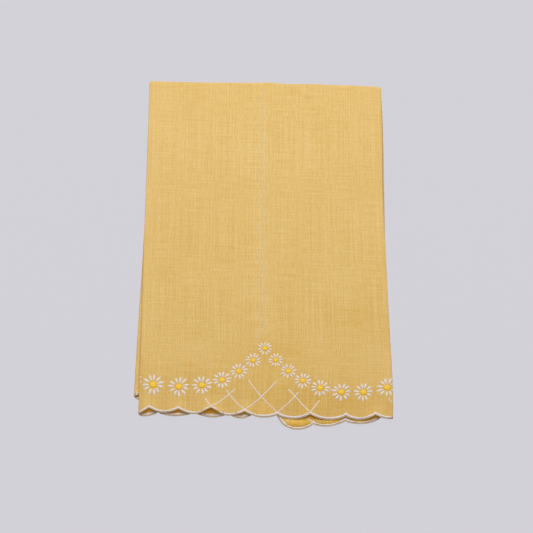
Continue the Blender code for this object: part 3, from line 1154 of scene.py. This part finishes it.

# Soft patches of painted shade (below zero) and painted light (above zero) on the linen's tone.
Patch = namedtuple("Patch", "across along half_width half_length tone")
SHADE_AND_LIGHT_PATCHES = [Patch(*row) for row in (
    (2, 48, 26, 13, -0.10),
    (61, 80, 19, 15, -0.09),
    (24, 15, 60, 20, -0.12),
    (72, 16, 24, 9, -0.03),
    (-58, 27, 35, 14, -0.06),
    (-50, 50, 34, 9, 0.03),
    (-90, 160, 12, 70, 0.03),
    (83, 232, 20, 26, 0.04),
    (-18, 222, 32, 20, 0.04),
    (-76, 228, 18, 34, 0.03),
    (-62, 138, 20, 18, -0.03),
    (62, 161, 22, 14, 0.03),
)]


def paint_shade_and_light(tree, place, tone):
    """A tone with soft patches of painted shade and painted light added, each a bell-shaped curve about
    its place on the cloth.
    """
    for number, patch in enumerate(SHADE_AND_LIGHT_PATCHES):
        title = f"patch {number + 1}"
        mapping = add_node(tree, "ShaderNodeMapping", title + " place", vector_type="TEXTURE")
        middle = (patch.across * MM + UV_MIDDLE, patch.along * MM, 0)
        size = (patch.half_width * MM, patch.half_length * MM, 1)
        feed(tree, mapping, {"Vector": place, "Location": middle, "Scale": size})
        off = mapping.outputs["Vector"]
        squared = add_node(tree, "ShaderNodeVectorMath", title + " squared", operation="DOT_PRODUCT")
        feed(tree, squared, {0: off, 1: off})
        bell = calculate(tree, "POWER", title + " bell", math.exp(-1), squared.outputs["Value"])
        tone = calculate(tree, "MULTIPLY_ADD", title, bell, patch.tone, tone)
    return tone


def paint_show_through(tree, place):
    """Masks for the painted show-through: painted shade over the gap between the flaps behind, and
    painted light over their white edges.
    """
    across, along = split_place(tree, "across and along the cloth", place)
    across = calculate(tree, "SUBTRACT", "from the middle", across, UV_MIDDLE)
    turns = calculate(tree, "MULTIPLY_ADD", "scallops", along, 2 * math.pi / FLAP_PITCH, GAP_PHASE)
    wave = calculate(tree, "SINE", "wave", turns)
    middle = calculate(tree, "MULTIPLY_ADD", "middle of the gap", wave, GAP_WAVE, GAP_MIDDLE)
    off = calculate(tree, "ABSOLUTE", "off", calculate(tree, "SUBTRACT", "off it", across, middle))
    gap = remap(tree, "gap", off, GAP_HALF, GAP_SOFT_HALF, 1.0, 0.0)
    beside = calculate(tree, "SUBTRACT", "edge", off, EDGES_BESIDE)
    beside = calculate(tree, "ABSOLUTE", "beside", beside)
    edges = remap(tree, "white edges", beside, EDGES_HALF, EDGES_SOFT_HALF, 1.0, 0.0)
    above = remap(tree, "above the daisies", along, SHOWS_FROM, SHOWS_FULLY_FROM)
    below = remap(tree, "below the top fold", along, SHOWS_FULLY_TO, SHOWS_TO, 1.0, 0.0)
    where = calculate(tree, "MULTIPLY", "where it shows", above, below)
    gap = calculate(tree, "MULTIPLY", "the gap there", gap, where)
    edges = calculate(tree, "MULTIPLY", "the edges there", edges, where)
    return gap, edges


def make_cloth(name, yarns, specular, sheen, through):
    """Thin yellow linen with its uneven threads, which lets some light through, with painted
    show-through and painted patches of shade and light.
    """
    material, tree, shader = new_material(name, 0.75, sheen, specular)
    place, tone, height = use_group(tree, weave, "flat cloth", Warp=0.22, Weft=0.26, Grain=0.46)
    # Painted shade and painted light, in soft patches.
    tone = paint_shade_and_light(tree, place, tone)
    # The show-through of the flaps behind is painted: paler over their edges, greyer over their gap.
    gap, edges = paint_show_through(tree, place)
    tone = calculate(tree, "MULTIPLY_ADD", "paler over the edges", edges, EDGES_TONE, tone)
    steepness = 1 / TONE_SPREAD
    paleness = calculate(tree, "MULTIPLY_ADD", "paleness", tone, steepness, 0.5 - steepness)
    colour = mix_colours(tree, "deep and pale yarns", paleness, yarns.deep, yarns.pale)
    faint_gap = calculate(tree, "MULTIPLY", "faintly", gap, GAP_GREYNESS)
    colour = mix_colours(tree, "showing through", faint_gap, colour, PAINTED_GAP_GREY)
    dress(tree, shader, colour, height, 0.05 * MM, 0.35)
    glow = add_node(tree, "ShaderNodeBsdfTranslucent", "light through the cloth")
    feed(tree, glow, {"Color": toned(tree, GLOWING_YELLOW, tone)})
    both = add_node(tree, "ShaderNodeMixShader", "thin cloth")
    feed(tree, both, {"Fac": through, 1: shader.outputs["BSDF"], 2: glow.outputs["BSDF"]})
    feed(tree, tree.nodes["Material Output"], {"Surface": both.outputs["Shader"]})
    return material


linen.data.materials.append(make_cloth("yellow linen", RIGHT_SIDE, 0.3, 0.1, RIGHT_GLOW))
linen.data.materials.append(make_cloth("wrong side of the linen", WRONG_SIDE, 0.1, 0.0, WRONG_GLOW))

# %% The threads
WHITE_THREAD = (0.69, 0.62, 0.60)
LINE_THREAD = (0.69, 0.57, 0.47)
PETAL_THREAD = (0.68, 0.59, 0.55)
GOLDEN_THREAD = (0.80, 0.50, 0.008)
# A darker gold that paints shade round the rim of each padded centre.
SHADED_RIM_GOLD = (0.67, 0.36, 0.004)
# Tan for the fringe, partly the linen's own colour and partly painted shade under the edging.
TRIMMED_LINEN_AND_SHADE = (0.68, 0.51, 0.37)
PALE_YARN = (0.80, 0.60, 0.27)


SHADED_RIM_START = 0.6
SHADED_RIM_FULL = 0.95
THREAD_SPECULAR = 0.25
THREAD_BUMP = 0.06 * MM
THREAD_BUMP_STRENGTH = 0.8
Thread = namedtuple("Thread", "piece name colour rim roughness pitch slant shade")
THREADS = [Thread(*row) for row in (
    (edging, "white thread", WHITE_THREAD, None, 0.55, 0.38, 0.25, 0.14),
    (lattice, "line thread", LINE_THREAD, None, 0.55, 0.38, 0.25, 0.14),
    (petals, "petal thread", PETAL_THREAD, None, 0.5, 0.45, 2.0, 0.14),
    (centres, "golden thread", GOLDEN_THREAD, SHADED_RIM_GOLD, 0.5, 0.5, 0.5, 0.25),
    (trim_and_shade, "trimmed linen and shade", TRIMMED_LINEN_AND_SHADE, None, 0.9, 0.5, 0.1, 0.5),
    (slubs, "pale yarn", PALE_YARN, None, 0.85, 1.4, 0.6, 0.2),
)]


def thread_material(thread):
    """Stitched thread with a soft shine, and with painted shade at its rim if a rim colour is given."""
    material, tree, shader = new_material(thread.name, thread.roughness, 0.0, THREAD_SPECULAR)
    _, tone, height = use_group(
        tree, stitches, "UVMap", Pitch=thread.pitch * MM, Slant=thread.slant, Shade=thread.shade)
    colour = thread.colour
    # Painted shade: the colour darkens towards the rim of the dome.
    if thread.rim:
        out = add_node(tree, "ShaderNodeAttribute", "distance out", attribute_name="out")
        near_rim = remap(tree, "near the rim", out.outputs["Fac"], SHADED_RIM_START, SHADED_RIM_FULL)
        colour = mix_colours(tree, "rim", near_rim, colour, thread.rim)
    dress(tree, shader, toned(tree, colour, tone), height, THREAD_BUMP, THREAD_BUMP_STRENGTH)
    return material


for thread in THREADS:
    thread.piece.data.materials.append(thread_material(thread))
    print(f"{thread.piece.name} is {thread.name}")

# %% [markdown]
# ## The table and the light
# The photograph has an even pale ground and no shadow to speak of, so the ground glows by itself. The
# light from all around is warm and the lamps a little cool, so the shaded edges below stay brown.
# A large soft lamp beyond the top of the towel gives most of the light, so each raised thread has a
# bright upper side and a shaded lower one. A second lamp above and an even world soften that.

# %% Floor, world and lamps
FLOOR_COLOUR = (0.648, 0.634, 0.683)
FLOOR_GLOW = 0.985
FLOOR_HALF = 4.0
FLOOR_DROP = 0.4 * MM
WORLD_COLOUR = (1.0, 0.84, 0.58, 1)
WORLD_STRENGTH = 0.3
LAMP_COLOUR = (0.886, 0.925, 1.0)
Lamp = namedtuple("Lamp", "name place size watts")
LAMPS = [
    Lamp("softbox_beyond", (0.0, 0.75, 1.2), 0.9, 19.2),
    Lamp("softbox_above", (0.0, 0.3, 1.8), 1.5, 14.8),
]


def make_floor():
    """A plain pale floor."""
    builder = bmesh.new()
    bmesh.ops.create_grid(builder, x_segments=1, y_segments=1, size=FLOOR_HALF)
    bmesh.ops.translate(builder, verts=builder.verts[:], vec=(0, 0, -FLOOR_DROP))
    floor = object_from(builder, "floor")
    material, tree, shader = new_material("plain floor", 0.95, 0.0, 0.1)
    unlit = [part * (1 - FLOOR_GLOW) for part in FLOOR_COLOUR]
    feed(tree, shader, {"Base Color": (*unlit, 1), "Emission Color": (*FLOOR_COLOUR, 1)})
    feed(tree, shader, {"Emission Strength": FLOOR_GLOW})
    floor.data.materials.append(material)
    floor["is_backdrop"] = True


def light_it():
    """An even world and two large soft lamps."""
    world = bpy.data.worlds.new("studio")
    world.use_nodes = True
    background = world.node_tree.nodes["Background"]
    feed(world.node_tree, background, {"Color": WORLD_COLOUR, "Strength": WORLD_STRENGTH})
    bpy.context.scene.world = world
    for row in LAMPS:
        lamp = bpy.data.lights.new(row.name, "AREA")
        lamp.size = row.size
        lamp.energy = row.watts
        lamp.color = LAMP_COLOUR
        holder = bpy.data.objects.new(row.name, lamp)
        holder.location = row.place
        holder.rotation_euler = (-Vector(row.place)).to_track_quat("-Z", "Y").to_euler()
        bpy.context.scene.collection.objects.link(holder)
        print(f"{row.name}: {row.watts:.1f} W, {row.size:.1f} m across")


make_floor()
light_it()
bpy.context.scene.view_settings.view_transform = "Standard"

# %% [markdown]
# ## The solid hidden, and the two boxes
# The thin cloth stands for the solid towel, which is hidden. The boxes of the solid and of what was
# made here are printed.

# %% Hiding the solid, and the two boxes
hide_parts("towel")

scene_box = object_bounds()
boxes = {
    "solid": [list(corner) for corner in solid_box],
    "scene": [list(corner) for corner in scene_box],
}
for name, box in boxes.items():
    print(name, [round((high - low) * 1000, 1) for low, high in zip(*box)])
